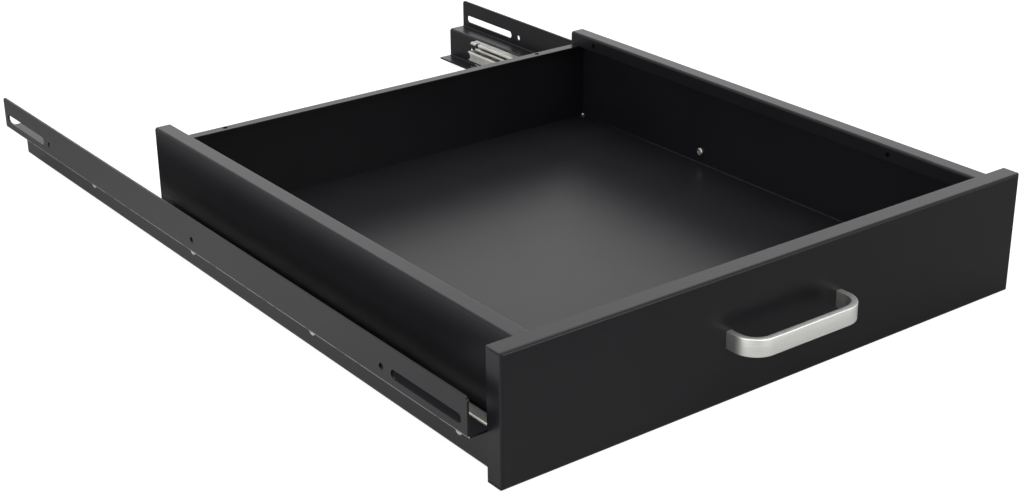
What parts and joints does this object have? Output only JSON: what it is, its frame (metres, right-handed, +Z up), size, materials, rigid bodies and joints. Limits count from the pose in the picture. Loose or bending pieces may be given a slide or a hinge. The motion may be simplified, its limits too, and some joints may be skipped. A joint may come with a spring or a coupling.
{
  "type": "sliding rack drawer",
  "caption": "Low steel drawer for an equipment rack: folded tray, front panel with a bow handle, ball-bearing telescopic slides and slotted side brackets.",
  "frame": {"origin": "centre of the whole object's outline seen from above, with the drawer closed, level with the front panel's bottom edge", "axes": "+X to the right as seen from the front, +Y from the front panel to the back, +Z up"},
  "size_m": [0.469, 0.698, 0.088],
  "materials": {
    "black_powder": "satin black powder coat on folded steel",
    "brushed_aluminium": "brushed, clear anodised",
    "zinc_steel": "bright zinc plated steel",
    "polished_steel": "polished bearing steel",
    "black_rubber": "moulded black rubber"
  },
  "bodies": {
    "rack_side": {"left_bracket": "black_powder", "left_outer_member": "zinc_steel", "left_bracket_screws": "zinc_steel", "left_bumper": "black_rubber", "right_bracket": "black_powder", "right_outer_member": "zinc_steel", "right_bracket_screws": "zinc_steel", "right_bumper": "black_rubber"},
    "drawer": {"drawer_tray": "black_powder", "tray_front_wall": "black_powder", "tray_back_wall": "black_powder", "front_panel": "black_powder", "panel_standoffs": "zinc_steel", "panel_screws": "zinc_steel", "handle": "brushed_aluminium", "handle_screws": "zinc_steel", "left_inner_member": "zinc_steel", "left_drawer_screws": "zinc_steel", "right_inner_member": "zinc_steel", "right_drawer_screws": "zinc_steel"},
    "left_middle": {"left_middle_member": "zinc_steel"},
    "left_outer_cage": {"left_outer_ball_cage": "zinc_steel", "left_outer_balls": "polished_steel"},
    "left_inner_cage": {"left_inner_ball_cage": "zinc_steel", "left_inner_balls": "polished_steel"},
    "right_middle": {"right_middle_member": "zinc_steel"},
    "right_outer_cage": {"right_outer_ball_cage": "zinc_steel", "right_outer_balls": "polished_steel"},
    "right_inner_cage": {"right_inner_ball_cage": "zinc_steel", "right_inner_balls": "polished_steel"}
  },
  "joints": [
    {"name": "drawer_slide", "type": "slide", "parent": "rack_side", "child": "drawer", "axis": [0, -1, 0], "range_m": [0, 0.6]},
    {"name": "left_middle_slide", "type": "slide", "parent": "rack_side", "child": "left_middle", "axis": [0, -1, 0], "range_m": [0, 0.3]},
    {"name": "left_outer_cage_slide", "type": "slide", "parent": "rack_side", "child": "left_outer_cage", "axis": [0, -1, 0], "range_m": [0, 0.15]},
    {"name": "left_inner_cage_slide", "type": "slide", "parent": "rack_side", "child": "left_inner_cage", "axis": [0, -1, 0], "range_m": [0, 0.45]},
    {"name": "right_middle_slide", "type": "slide", "parent": "rack_side", "child": "right_middle", "axis": [0, -1, 0], "range_m": [0, 0.3]},
    {"name": "right_outer_cage_slide", "type": "slide", "parent": "rack_side", "child": "right_outer_cage", "axis": [0, -1, 0], "range_m": [0, 0.15]},
    {"name": "right_inner_cage_slide", "type": "slide", "parent": "rack_side", "child": "right_inner_cage", "axis": [0, -1, 0], "range_m": [0, 0.45]}
  ],
  "couplings": [
    {"joint": "left_middle_slide", "follows": "drawer_slide", "ratio": 0.5},
    {"joint": "left_outer_cage_slide", "follows": "drawer_slide", "ratio": 0.25},
    {"joint": "left_inner_cage_slide", "follows": "drawer_slide", "ratio": 0.75},
    {"joint": "right_middle_slide", "follows": "drawer_slide", "ratio": 0.5},
    {"joint": "right_outer_cage_slide", "follows": "drawer_slide", "ratio": 0.25},
    {"joint": "right_inner_cage_slide", "follows": "drawer_slide", "ratio": 0.75}
  ]
}
